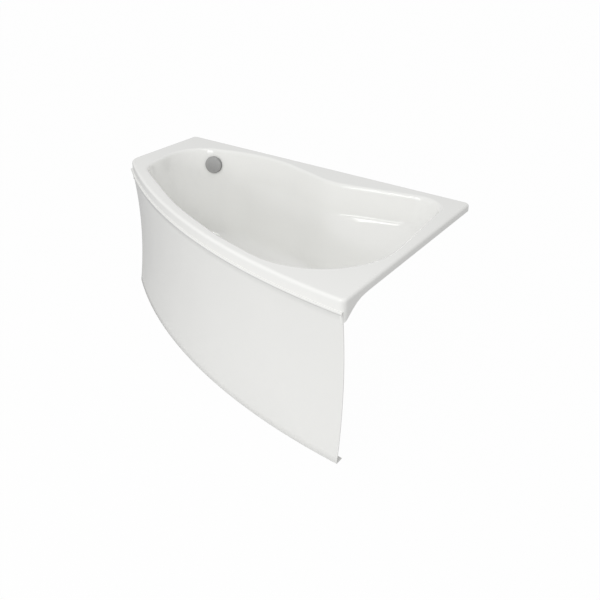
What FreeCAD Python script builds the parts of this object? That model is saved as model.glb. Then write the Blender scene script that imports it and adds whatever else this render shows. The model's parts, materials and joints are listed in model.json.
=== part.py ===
"""Corner bathtub in millimetres: a moulded shell on two cross-bearers with levelling feet, a bowed front panel,
and a turn-to-open waste and overflow. X runs along the long wall, Y towards it, Z up. The origin is the centre of
the plan, on the floor."""

import FreeCAD, Part
import math
import os
import re
from FreeCAD import Placement, Rotation, Vector
from Sketcher import Constraint as constraint

doc = FreeCAD.newDocument("corner_bath")
dim = doc.addObject("Spreadsheet::Sheet", "dim")

# Driving dimensions, in millimetres and degrees.
SIZES = {
    # rim
    "bath_length": 1400,
    "bath_depth": 900,
    "narrow_end": 416,
    "rim_height": 600,
    "front_radius": 2390,
    "skirt_drop": 40,
    "wall": 7,
    "rim_roll": 10,
    "lip_roll": 6,
    "corner_round": 20,
    "nose_round": 75,
    # bowl, at the rim
    "bowl_depth": 420,
    "wall_draft": 9,
    "head_draft": 20,
    "recline": 41,
    "floor_round": 60,
    "ledge_drop": 95,
    "ledge_width": 62,
    # panel
    "panel_sheet": 3,
    "panel_proud": 5,
    "panel_hollow": 21,
    "panel_flange": 32,
    "panel_end_gap": 6,
    "batten_width": 18,
    "batten_height": 25,
    "clip_length": 30,
    "clip_sheet": 3,
    # support
    "board_thickness": 15,
    "bearer_width": 44,
    "bearer_height": 25,
    "bearer_sheet": 2,
    "foot_bearer_length": 470,
    "head_bearer_length": 520,
    "foot_inset": 22,
    "rod_radius": 5,
    "nut_height": 8,
    "nut_flats": 17,
    "pad_radius": 25,
    "pad_sole": 6,
    "pad_height": 22,
    "screw_radius": 2,
    "screw_head": 4.5,
    "screw_length": 14,
    # overflow
    "overflow_drop": 70,
    "overflow_turn": 21,
    "overflow_hole": 27,
    "overflow_bore": 21,
    "overflow_tube": 26,
    "ring_radius": 33,
    "gasket_height": 3,
    "gasket_radius": 36,
    "body_flange": 4,
    "body_wall": 4,
    "cover_radius": 38,
    "cover_height": 12,
    "cover_wall": 2.5,
    "spindle_radius": 4,
    "running_fit": 0.05,
    "pipe_radius": 20,
    "pipe_bore": 17.5,
    "cable_radius": 3,
    "cable_side": 24,
    # waste
    "waste_hole": 26,
    "waste_bore": 21,
    "waste_tube": 25,
    "waste_rim": 35,
    "waste_rim_height": 2.5,
    "waste_chamber": 27,
    "plug_radius": 30,
    "stem_radius": 3,
    "shaft_radius": 3,
    "finger_length": 19,
    "outlet_radius": 20,
    "outlet_wall": 2.5,
    "outlet_free": 60,
    "outlet_collar": 1.5,
    "outlet_relief": 1,
    "spigot_radius": 24,
}

for row, (alias, size) in enumerate(SIZES.items(), start=1):
    dim.set(f"A{row}", alias)
    dim.set(f"B{row}", str(size))
    dim.setAlias(f"B{row}", alias)
doc.recompute()


def full(text):
    """An expression with the sheet's name before each of its aliases."""
    return re.sub(r"[a-z]\w*", lambda word: f"dim.{word[0]}" if word[0] in SIZES else word[0], text)


def value(text):
    """The number that an expression of the sheet's aliases comes to."""
    return float(dim.evalExpression(full(text)))


LEFT = -value("bath_length") / 2
RIGHT = value("bath_length") / 2
BACK = value("bath_depth + panel_proud") / 2
FRONT = BACK - value("bath_depth")
RIM = value("rim_height")
WALL = value("wall")
LEDGE = value("rim_height - ledge_drop")
FLOOR = value("rim_height - bowl_depth")


def front_centre():
    """The centre of the rim's bowed front edge, which runs from the front corner to the narrow end."""
    corner = Vector(RIGHT, FRONT, 0)
    nose = Vector(LEFT, BACK - value("narrow_end"), 0)
    half = (nose - corner) / 2
    rise = math.sqrt(value("front_radius") ** 2 - half.Length**2)
    across = Vector(half.y, -half.x, 0).normalize()
    return corner + half + across * rise


CENTRE = front_centre()


def front_at(x, radius):
    """The point of the circle about the front's centre that lies over x, on the front side."""
    return Vector(x, CENTRE.y - math.sqrt(radius**2 - (x - CENTRE.x) ** 2), 0)


def raised(wire, low, high):
    """A prism over a flat wire, from one height to another."""
    solid = Part.Face(wire).extrude(Vector(0, 0, high - low))
    solid.translate(Vector(0, 0, low))
    return solid


def rim_prism(inset, low, high):
    """The plan of the rim, taken in by an inset, as a prism with rounded upright corners."""
    radius = value("front_radius") - inset
    left, right, back = LEFT + inset, RIGHT - inset, BACK - inset
    corners = [Vector(left, back, 0), front_at(left, radius), front_at(right, radius), Vector(right, back, 0)]
    bow = Part.Arc(corners[1], front_at((left + right) / 2, radius), corners[2])
    sides = [
        Part.LineSegment(corners[0], corners[1]).toShape(),
        bow.toShape(),
        Part.LineSegment(corners[2], corners[3]).toShape(),
        Part.LineSegment(corners[3], corners[0]).toShape(),
    ]
    solid = raised(Part.Wire(sides), low, high)
    for corner, alias in zip(corners, ("corner_round", "nose_round", "corner_round", "corner_round")):
        upright = [
            edge
            for edge in solid.Edges
            if all(math.hypot(v.X - corner.x, v.Y - corner.y) < 0.01 for v in edge.Vertexes)
        ]
        solid = solid.makeFillet(max(value(alias) - inset, 1), upright)
    return solid


def crossing(first, second):
    """Where two lines of the plan cross, each given by a point and a direction."""
    (p, u), (q, v) = first, second
    turn = u.x * v.y - u.y * v.x
    gap = q - p
    return p + u * ((gap.x * v.y - gap.y * v.x) / turn)


def rounded_wire(lines, radii, z):
    """A closed wire of the given lines, with a round of its own at the end of each line."""
    count = len(lines)
    corners = [crossing(lines[i], lines[(i + 1) % count]) for i in range(count)]
    starts, ends, arcs = [], [], []
    for i, corner in enumerate(corners):
        back = -lines[i][1]
        ahead = lines[(i + 1) % count][1]
        half = back.getAngle(ahead) / 2
        run = radii[i] / math.tan(half)
        middle = (back + ahead).normalize() * (radii[i] / math.sin(half) - radii[i])
        starts.append(corner + back * run)
        ends.append(corner + ahead * run)
        arcs.append(Part.Arc(starts[i], corner + middle, ends[i]).toShape())
    edges = []
    for i in range(count):
        edges.append(Part.LineSegment(ends[i - 1], starts[i]).toShape())
        edges.append(arcs[i])
    wire = Part.Wire(edges)
    wire.translate(Vector(0, 0, z))
    return wire


# The bowl's plan follows the bath's length and depth. Its points are given on a bath of these two sizes.
DRAWN_LENGTH, DRAWN_DEPTH = 1400, 900
ALONG = value("bath_length") / DRAWN_LENGTH
ACROSS = value("bath_depth") / DRAWN_DEPTH
ROUNDING = min(ALONG, ACROSS, 1)


def drawn(x, from_back):
    """A point of the plan, by its place along the bath and its distance from the long wall."""
    return Vector(x * ALONG, BACK - from_back * ACROSS, 0)


def slanted(x, y):
    """A direction of the plan."""
    return Vector(x * ALONG, y * ACROSS, 0).normalize()


# Corners of the bowl's outline at the rim, where its straight stretches would cross, with the round of each.
BOWL = {
    "front_waist": (drawn(110, 776), 150 * ROUNDING),
    "head_front": (drawn(694, 910), 304 * ROUNDING),
    "head_back": (drawn(631, 30), 105 * ROUNDING),
    "back_waist": (drawn(160, 136), 236 * ROUNDING),
    "back_bow": (drawn(-233, 21), 600 * ROUNDING),
    "foot_back": (drawn(-630, 136), 169 * ROUNDING),
    "foot_front": (drawn(-582, 445), 90 * ROUNDING),
    "front_bow": (drawn(-188, 669), 1500 * ROUNDING),
}
STEP_ROUNDS = (60 * ROUNDING, 65 * ROUNDING)
HEAD_ROUND, HEAD_BACK_ROUND = 120 * ROUNDING, 70 * ROUNDING
HEAD_ROUND_RISE = 142 * ROUNDING


def side(start, end, inset):
    """The line from one corner of the bowl to another, moved towards the inside of the bowl."""
    p, q = BOWL[start][0], BOWL[end][0]
    along = (q - p).normalize()
    return p + Vector(-along.y, along.x, 0) * inset, along


def drafted(z):
    """How far the bowl's steep walls have come in at a height."""
    return (RIM - z) * math.tan(math.radians(value("wall_draft")))


def head_inset(z):
    """How far the head end has come in: steep down to the ledge, and a recline below it."""
    upper = min(RIM - z, value("ledge_drop")) * math.tan(math.radians(value("head_draft")))
    lower = max(LEDGE - z, 0) * math.tan(math.radians(value("recline")))
    return upper + lower


def upper_section(z, grown):
    """The bowl's outline above the armrests, grown outwards for the outside of the shell."""
    names = list(BOWL)
    lines, radii = [], []
    for i, name in enumerate(names):
        nxt = names[(i + 1) % len(names)]
        inset = head_inset(z) if name == "head_front" else drafted(z)
        lines.append(side(name, nxt, inset - grown))
        hollow = -1 if nxt == "back_waist" else 1
        radii.append(BOWL[nxt][1] + hollow * grown)
    return rounded_wire(lines, radii, z)


def lower_section(z, grown):
    """The bowl's outline between the armrests and below them."""
    inset = drafted(z) - grown
    shelf = value("ledge_width")
    step_back, step_front = slanted(-70, 62), slanted(70, 62)
    back_start, front_start = drawn(165, 139), drawn(118, 779)
    head_round = HEAD_ROUND + HEAD_ROUND_RISE * max(z - FLOOR, 0) / (LEDGE - FLOOR)
    lines = [
        side("front_waist", "head_front", inset + shelf),
        side("head_front", "head_back", head_inset(z) - grown),
        side("head_back", "back_waist", inset + shelf),
        (back_start + Vector(-step_back.y, step_back.x, 0) * inset, step_back),
        side("back_waist", "back_bow", inset),
        side("back_bow", "foot_back", inset),
        side("foot_back", "foot_front", inset),
        side("foot_front", "front_bow", inset),
        side("front_bow", "front_waist", inset),
        (front_start + Vector(-step_front.y, step_front.x, 0) * inset, step_front),
    ]
    inner, outer = STEP_ROUNDS[0] - grown, STEP_ROUNDS[1] + grown
    radii = [head_round + grown, HEAD_BACK_ROUND + grown, inner, outer]
    kept = ("back_bow", "foot_back", "foot_front", "front_bow")
    radii += [BOWL[name][1] + grown for name in kept]
    radii += [outer, inner]
    return rounded_wire(lines, radii, z)


def bowl(grown):
    """The space inside the bowl, or the outside of the shell round it when grown by the wall."""
    ledge, floor = LEDGE - grown, FLOOR - grown
    upper = Part.makeLoft([upper_section(ledge, grown), upper_section(RIM, grown)], True, True)
    lower = Part.makeLoft([lower_section(floor, grown), lower_section(ledge + WALL / 2, grown)], True, True)
    sole = [edge for edge in lower.Edges if all(abs(v.Z - floor) < 0.01 for v in edge.Vertexes)]
    return upper.fuse(lower.makeFillet(value("floor_round") + grown, sole))


def feature(name, shape, placement=None):
    """A sub-part of the document that holds a finished shape."""
    part = doc.addObject("Part::Feature", name)
    part.Label = name
    part.Shape = shape
    if placement is not None:
        part.Placement = placement
    return part


def cylinder(radius, low, high, centre=Vector(0, 0, 0)):
    """An upright cylinder between two heights."""
    return Part.makeCylinder(radius, high - low, centre + Vector(0, 0, low))


def lying(radius, start, end):
    """A cylinder from one point to another."""
    return Part.makeCylinder(radius, (end - start).Length, start, end - start)


SKETCH_ORIGIN = -1
SKETCH_X, SKETCH_Y = -1, -2


def hold(sketch, kind, point, text):
    """Tie one coordinate of a sketch's corner to an expression, which may be nought or less."""
    number = value(text)
    if abs(number) < 1e-6:
        axis = SKETCH_Y if kind == "DistanceX" else SKETCH_X
        sketch.addConstraint(constraint("PointOnObject", point, 1, axis))
    elif number > 0:
        tie = sketch.addConstraint(constraint(kind, SKETCH_ORIGIN, 1, point, 1, number))
        sketch.setExpression(f"Constraints[{tie}]", full(text))
    else:
        tie = sketch.addConstraint(constraint(kind, point, 1, SKETCH_ORIGIN, 1, -number))
        sketch.setExpression(f"Constraints[{tie}]", full(f"-({text})"))


def profile(body, plane, corners):
    """A closed sketch of straight lines on one of a body's own planes, each corner tied to the sheet."""
    sketch = body.newObject("Sketcher::SketchObject", body.Name + "_profile")
    origin = [f for f in body.Origin.OriginFeatures if f.Role == plane][0]
    sketch.AttachmentSupport = [(origin, "")]
    sketch.MapMode = "FlatFace"
    points = [Vector(value(x), value(y), 0) for x, y in corners]
    for i, point in enumerate(points):
        sketch.addGeometry(Part.LineSegment(point, points[(i + 1) % len(points)]), False)
    for i in range(len(points)):
        sketch.addConstraint(constraint("Coincident", i, 2, (i + 1) % len(points), 1))
    for i, (x, y) in enumerate(corners):
        hold(sketch, "DistanceX", i, x)
        hold(sketch, "DistanceY", i, y)
    return sketch


def turned(name, corners, placement=None):
    """A turned piece: a profile of radius and height, revolved about the upright axis."""
    body = doc.addObject("PartDesign::Body", name)
    body.Label = name
    sketch = profile(body, "XZ_Plane", corners)
    spin = body.newObject("PartDesign::Revolution", name + "_turn")
    spin.Profile = sketch
    spin.ReferenceAxis = (sketch, ["V_Axis"])
    spin.Angle = 360
    body.Tip = spin
    if placement is not None:
        body.Placement = placement
    return body


def nut(flats, bore, low, high, centre):
    """A hexagon nut between two heights."""
    reach = flats / math.sqrt(3)
    corners = [Vector(reach * math.cos(k * math.pi / 3), reach * math.sin(k * math.pi / 3), 0) for k in range(7)]
    solid = raised(Part.makePolygon(corners), low, high)
    solid.translate(Vector(centre.x, centre.y, 0))
    return solid.cut(cylinder(bore, low - 1, high + 1, Vector(centre.x, centre.y, 0)))


def ring_band(inner, outer, low, high, left, right):
    """A band that follows the rim's bowed front between two radii, cut off square at both ends."""
    band = cylinder(outer, low, high, CENTRE).cut(cylinder(inner, low - 1, high + 1, CENTRE))
    return band.common(Part.makeBox(right - left, 2000, high - low, Vector(left, FRONT - 400, low)))


# ---------------------------------------------------------------- places

WASTE = Vector(LEFT + 300 * ALONG, BACK - 285 * ACROSS, FLOOR)
BOARD_LOW = FLOOR - WALL - value("board_thickness")
ROD_TOP = FLOOR - WALL - 3
BEARERS = {
    "bearer_foot_end": (drawn(-270, 337), "foot_bearer_length"),
    "bearer_head_end": (drawn(110, 447), "head_bearer_length"),
}


def overflow_frame():
    """The overflow's seat: its origin on the bowl's wall, Z out of the wall, Y up along the wall."""
    z = RIM - value("overflow_drop")
    turn, tilt = math.radians(value("overflow_turn")), math.radians(value("wall_draft"))
    inward = Vector(math.sin(turn), -math.cos(turn), 0)
    before, after = side("back_bow", "foot_back", drafted(z)), side("foot_back", "foot_front", drafted(z))
    corner = crossing(before, after)
    back, ahead = -before[1], after[1]
    radius = BOWL["foot_back"][1]
    half = back.getAngle(ahead) / 2
    middle = corner + (back + ahead).normalize() * (radius / math.sin(half))
    seat = middle - inward * radius
    seat.z = z
    out = inward * math.cos(tilt) + Vector(0, 0, math.sin(tilt))
    up = Vector(0, 0, math.cos(tilt)) - inward * math.sin(tilt)
    return Placement(seat, Rotation(up.cross(out), up, out, "ZYX"))


OVERFLOW = overflow_frame()


def waste_frame():
    """The waste's seat: its origin on the bowl's floor, X away from where the overflow pipe comes in."""
    fall = pipe_foot() - WASTE
    away = Vector(-fall.x, -fall.y, 0).normalize()
    up = Vector(0, 0, 1)
    return Placement(WASTE, Rotation(away, up.cross(away), up, "ZXY"))


INLET_DROP = 40
CHAMBER_DEPTH = 33


def pipe_foot():
    """The corner of the overflow pipe, where it turns from the wall towards the waste."""
    start = OVERFLOW.multVec(Vector(0, 0, -CHAMBER_DEPTH))
    down = OVERFLOW.Rotation.multVec(Vector(0, -1, 0))
    return start + down * ((start.z - (FLOOR - INLET_DROP)) / -down.z)


WASTE_FRAME = waste_frame()


# ---------------------------------------------------------------- shell and panel


def tub_shell():
    """The moulded shell: a flat deck with its turned-down skirt, and the bowl with two armrest ledges."""
    low = RIM - value("skirt_drop")
    rim = rim_prism(0, low, RIM)
    top = [edge for edge in rim.Edges if all(abs(v.Z - RIM) < 0.01 for v in edge.Vertexes)]
    rim = rim.makeFillet(value("rim_roll"), top)
    rim = rim.cut(rim_prism(WALL, low - 1, RIM - WALL))
    seat = cylinder(value("cover_radius") + 6, -WALL, 0)
    seat.Placement = OVERFLOW
    solid = rim.fuse(bowl(WALL)).fuse(seat).cut(bowl(0))
    hollow = cylinder(value("cover_radius") + 2, 0, 40)
    hollow.Placement = OVERFLOW
    hole = cylinder(value("overflow_hole"), -WALL - 30, 5)
    hole.Placement = OVERFLOW
    spot_face = cylinder(value("gasket_radius") + 1, -WALL - 20, -WALL)
    spot_face.Placement = OVERFLOW
    drain = cylinder(value("waste_hole"), -WALL - 5, 5, WASTE)
    solid = solid.cut(hollow).cut(hole).cut(spot_face).cut(drain)
    lip = [
        edge
        for edge in solid.Edges
        if all(abs(v.Z - RIM) < 0.01 for v in edge.Vertexes) and inside_rim(edge)
    ]
    return feature("tub_shell", solid.makeFillet(value("lip_roll"), lip))


def inside_rim(edge):
    """Whether an edge of the deck belongs to the bowl and not to the rim's outside."""
    middle = edge.CenterOfMass
    away = Vector(middle.x - CENTRE.x, middle.y - CENTRE.y, 0).Length
    margin = value("rim_roll") + 10
    in_x = LEFT + margin < middle.x < RIGHT - margin
    return in_x and middle.y < BACK - margin and away < value("front_radius") - margin


def front_panel():
    """The bowed panel: a sheet hollow in height, rolled out to a bead and in to a flange at the top."""
    radius, sheet = value("front_radius"), value("panel_sheet")
    top = RIM - value("skirt_drop")
    hollow, proud, flange = value("panel_hollow"), value("panel_proud"), value("panel_flange")
    crown = top - 15

    def at(r, z):
        return Vector(CENTRE.x, CENTRE.y - r, z)

    outline = [
        Part.Arc(at(radius, 0), at(radius - hollow, crown / 2), at(radius - 2, crown)),
        Part.LineSegment(at(radius - 2, crown), at(radius + proud, top - 4)),
        Part.LineSegment(at(radius + proud, top - 4), at(radius + proud, top)),
        Part.LineSegment(at(radius + proud, top), at(radius - flange + 2, top)),
        Part.LineSegment(at(radius - flange + 2, top), at(radius - flange + 2, top - sheet)),
        Part.LineSegment(at(radius - flange + 2, top - sheet), at(radius + proud - 3, top - sheet)),
        Part.LineSegment(at(radius + proud - 3, top - sheet), at(radius - 2 - sheet, crown)),
        Part.Arc(
            at(radius - 2 - sheet, crown),
            at(radius - hollow - sheet, crown / 2),
            at(radius - sheet, sheet),
        ),
        Part.LineSegment(at(radius - sheet, sheet), at(radius - flange, sheet)),
        Part.LineSegment(at(radius - flange, sheet), at(radius - flange, 0)),
        Part.LineSegment(at(radius - flange, 0), at(radius, 0)),
    ]
    section = Part.Face(Part.Wire([piece.toShape() for piece in outline]))
    section.rotate(CENTRE, Vector(0, 0, 1), 8)
    sheet_solid = section.revolve(CENTRE, Vector(0, 0, 1), -52)
    gap = value("panel_end_gap")
    trim = Part.makeBox(RIGHT - LEFT - 2 * gap, 2000, top + 10, Vector(LEFT + gap, FRONT - 500, -5))
    return feature("front_panel", sheet_solid.common(trim))


CLIPS = [x * ALONG for x in (-480, -150, 280, 590)]


def clip_place(x):
    """Where a panel clip sits: under the batten, square to the bowed front."""
    foot = front_at(x, value("front_radius"))
    inward = (CENTRE - foot).normalize()
    up = Vector(0, 0, 1)
    foot.z = RIM - value("skirt_drop")
    return Placement(foot, Rotation(inward.cross(up), inward, up, "ZYX"))


def batten_and_clips():
    """The batten under the deck, and the clips that grip the panel's flange, with their screws."""
    radius, width = value("front_radius") - WALL, value("batten_width")
    top = RIM - WALL
    low = top - value("batten_height")
    batten = ring_band(radius - width, radius, low, top, LEFT + 100, RIGHT - 50)
    flange_top = RIM - value("skirt_drop")
    sheet, length = value("clip_sheet"), value("clip_length")
    back = value("panel_flange") - 2 + 0.1
    front = WALL + 3
    depth = back + sheet - front
    jaw = flange_top - value("panel_sheet") - sheet
    screw_line = (WALL + width / 2) + 1
    clips, screws = [], []
    for x in CLIPS:
        place = clip_place(x)
        block = Part.makeBox(length, depth, low - jaw, Vector(-length / 2, front, jaw - flange_top))
        slot = Part.makeBox(
            length + 2, back - front + 5, value("panel_sheet"), Vector(-length / 2 - 1, front - 5, -value("panel_sheet"))
        )
        seat = Vector(0, screw_line, 0)
        head = cylinder(value("screw_head"), 0, 3, seat)
        shank = cylinder(value("screw_radius"), 2, low - flange_top + 12, seat)
        reach = cylinder(value("screw_head") + 1, jaw - flange_top - 1, -1, seat)
        clip = block.cut(slot).cut(head).cut(shank).cut(reach)
        screw = cylinder(value("screw_head"), 0.5, 3, seat).fuse(shank.cut(cylinder(9, 0, 3, seat))).removeSplitter()
        for solid in (clip, screw, shank):
            solid.Placement = place
        batten = batten.cut(shank)
        clips.append(clip)
        screws.append(screw)
    feature("rim_batten", batten)
    feature("panel_clips", Part.makeCompound(clips))
    feature("clip_screws", Part.makeCompound(screws))


# ---------------------------------------------------------------- supports


def supports():
    """The board under the bowl's floor, two cross-bearers, their screws, and four levelling feet."""
    radius = value("screw_radius")
    web_top = BOARD_LOW
    web_low = web_top - value("bearer_sheet")
    plan = [(-325, 427), (-325, 212), (-40, 217), (200, 327), (200, 567), (30, 602)]
    corners = [drawn(x, from_back) for x, from_back in plan]
    board = raised(Part.makePolygon(corners + corners[:1]), web_top, FLOOR - WALL)
    rods, pads, nuts, screws = [], [], [], []
    for name, (centre, length_name) in BEARERS.items():
        x, length = centre.x, value(length_name)
        width, height, sheet = value("bearer_width"), value("bearer_height"), value("bearer_sheet")
        corner = Vector(x - width / 2, centre.y - length / 2, web_top - height)
        channel = Part.makeBox(width, length, height, corner)
        upright = [e for e in channel.Edges if all(abs(v.Z - web_top) < 0.01 for v in e.Vertexes)]
        long_top = [e for e in upright if e.Length > width + 1]
        channel = channel.makeFillet(2 * sheet, long_top)
        inner = Part.makeBox(width - 2 * sheet, length + 2, height - sheet, corner + Vector(sheet, -1, 0))
        inner_top = [
            e
            for e in inner.Edges
            if all(abs(v.Z - web_low) < 0.01 for v in e.Vertexes) and e.Length > width + 1
        ]
        channel = channel.cut(inner.makeFillet(sheet, inner_top))
        for end in (-1, 1):
            foot = Vector(x, centre.y + end * (length / 2 - value("foot_inset")), 0)
            rod = cylinder(value("rod_radius"), value("pad_sole"), ROD_TOP, foot)
            channel = channel.cut(rod)
            rods.append(rod)
            pads.append(foot)
            high = web_top + value("nut_height")
            nuts.append(nut(value("nut_flats"), value("rod_radius"), web_top, high, foot))
            nuts.append(nut(value("nut_flats"), value("rod_radius"), web_low - value("nut_height"), web_low, foot))
            spot = Vector(x, centre.y + end * 60, 0)
            shank = cylinder(radius, web_low, web_low + value("screw_length"), spot)
            head = cylinder(value("screw_head"), web_low - 3, web_low, spot)
            channel = channel.cut(shank)
            board = board.cut(shank)
            screws.append(shank.fuse(head).removeSplitter())
        feature(name, channel)
    feature("base_board", board)
    feature("foot_rods", Part.makeCompound(rods))
    feature("foot_nuts", Part.makeCompound(nuts))
    feature("bearer_screws", Part.makeCompound(screws))
    one = turned(
        "foot_pad_pattern",
        [
            ("0", "0"),
            ("pad_radius", "0"),
            ("pad_radius", "pad_sole"),
            ("rod_radius + 6", "pad_sole + 4"),
            ("rod_radius + 4", "pad_height"),
            ("rod_radius", "pad_height"),
            ("rod_radius", "pad_sole"),
            ("0", "pad_sole"),
        ],
    )
    doc.recompute()
    copies = []
    for foot in pads:
        copy = one.Shape.copy()
        copy.translate(foot)
        copies.append(copy)
    feature("foot_pads", Part.makeCompound(copies))
    return one


# ---------------------------------------------------------------- overflow


def path_wire(points, radii):
    """A path of straight runs joined by tangent arcs."""
    edges, start = [], points[0]
    for i, radius in enumerate(radii, start=1):
        corner = points[i]
        back, ahead = (points[i - 1] - corner).normalize(), (points[i + 1] - corner).normalize()
        half = back.getAngle(ahead) / 2
        run = radius / math.tan(half)
        middle = corner + (back + ahead).normalize() * (radius / math.sin(half) - radius)
        edges.append(Part.LineSegment(start, corner + back * run).toShape())
        edges.append(Part.Arc(corner + back * run, middle, corner + ahead * run).toShape())
        start = corner + ahead * run
    edges.append(Part.LineSegment(start, points[-1]).toShape())
    return Part.Wire(edges)


def tube(path, radius):
    """A solid rod of a radius along a path."""
    first = path.Edges[0]
    circle = Part.Wire(Part.makeCircle(radius, first.Vertexes[0].Point, first.tangentAt(first.FirstParameter)))
    return path.makePipeShell([circle], True, True)


def overflow_set():
    """The overflow: cover and spindle that turn, face ring, gasket, and the body behind the wall."""
    turned(
        "overflow_cover",
        [
            ("spindle_radius", "7"),
            ("spindle_radius + 3", "7"),
            ("spindle_radius + 3", "cover_height + 0.5"),
            ("cover_radius - cover_wall", "cover_height + 0.5"),
            ("cover_radius - cover_wall", "3.5"),
            ("cover_radius", "3.5"),
            ("cover_radius", "cover_height + 1.5"),
            ("cover_radius - 2", "cover_height + 3.5"),
            ("0", "cover_height + 3.5"),
            ("0", "cover_height + 0.5"),
            ("spindle_radius", "cover_height + 0.5"),
        ],
        OVERFLOW,
    )
    turned(
        "overflow_spindle",
        [
            ("0", "-44"),
            ("spindle_radius", "-44"),
            ("spindle_radius", "cover_height + 0.5"),
            ("0", "cover_height + 0.5"),
        ],
        OVERFLOW,
    )
    turned(
        "overflow_ring",
        [
            ("overflow_bore", "-25"),
            ("overflow_tube", "-25"),
            ("overflow_tube", "0"),
            ("ring_radius", "0"),
            ("ring_radius", "2"),
            ("ring_radius - 1", "3"),
            ("overflow_bore", "3"),
        ],
        OVERFLOW,
    )
    turned(
        "overflow_gasket",
        [
            ("overflow_tube", "-wall - gasket_height"),
            ("gasket_radius", "-wall - gasket_height"),
            ("gasket_radius", "-wall"),
            ("overflow_tube", "-wall"),
        ],
        OVERFLOW,
    )
    tube_radius, wall = value("overflow_tube"), value("body_wall")
    face = -WALL - value("gasket_height")
    deep = -42
    outside = cylinder(value("gasket_radius"), face - value("body_flange"), face)
    outside = outside.fuse(cylinder(tube_radius + wall, deep - wall, face))
    spigot_end = Vector(0, -75, -CHAMBER_DEPTH)
    outside = outside.fuse(lying(value("pipe_bore"), Vector(0, 0, -CHAMBER_DEPTH), spigot_end))
    side = value("cable_side")
    nipple = (Vector(side, -15, -CHAMBER_DEPTH), Vector(side, -40, -CHAMBER_DEPTH))
    outside = outside.fuse(lying(value("cable_radius") + 2, *nipple))
    hub = cylinder(value("spindle_radius") + 5, deep - wall, deep + 8)
    inside = cylinder(tube_radius, deep, face + 1).cut(hub)
    inside = inside.fuse(lying(value("pipe_bore") - 2.5, Vector(0, -15, -CHAMBER_DEPTH), Vector(0, -76, -CHAMBER_DEPTH)))
    bearing = cylinder(value("spindle_radius + running_fit"), -44.3, deep + 9)
    body = outside.cut(inside).cut(bearing).removeSplitter()
    feature("overflow_body", body, OVERFLOW)
    sleeve = OVERFLOW.multVec(Vector(0, -50, -CHAMBER_DEPTH))
    inlet = WASTE_FRAME.multVec(Vector(-31, 0, -INLET_DROP))
    path = path_wire([sleeve, pipe_foot(), inlet], [60])
    pipe = tube(path, value("pipe_radius")).cut(tube(path, value("pipe_bore")))
    feature("overflow_pipe", pipe)
    cable_top = OVERFLOW.multVec(nipple[1])
    cable_low = OVERFLOW.multVec(Vector(side, -300, -CHAMBER_DEPTH))
    turn_in = WASTE_FRAME.multVec(Vector(-80, 34, -SHAFT_DROP))
    entry = WASTE_FRAME.multVec(Vector(0, 34, -SHAFT_DROP))
    cable = tube(path_wire([cable_top, cable_low, turn_in, entry], [90, 60]), value("cable_radius"))
    feature("actuator_cable", cable)


# ---------------------------------------------------------------- waste and trap

SHAFT_DROP = 48


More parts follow.
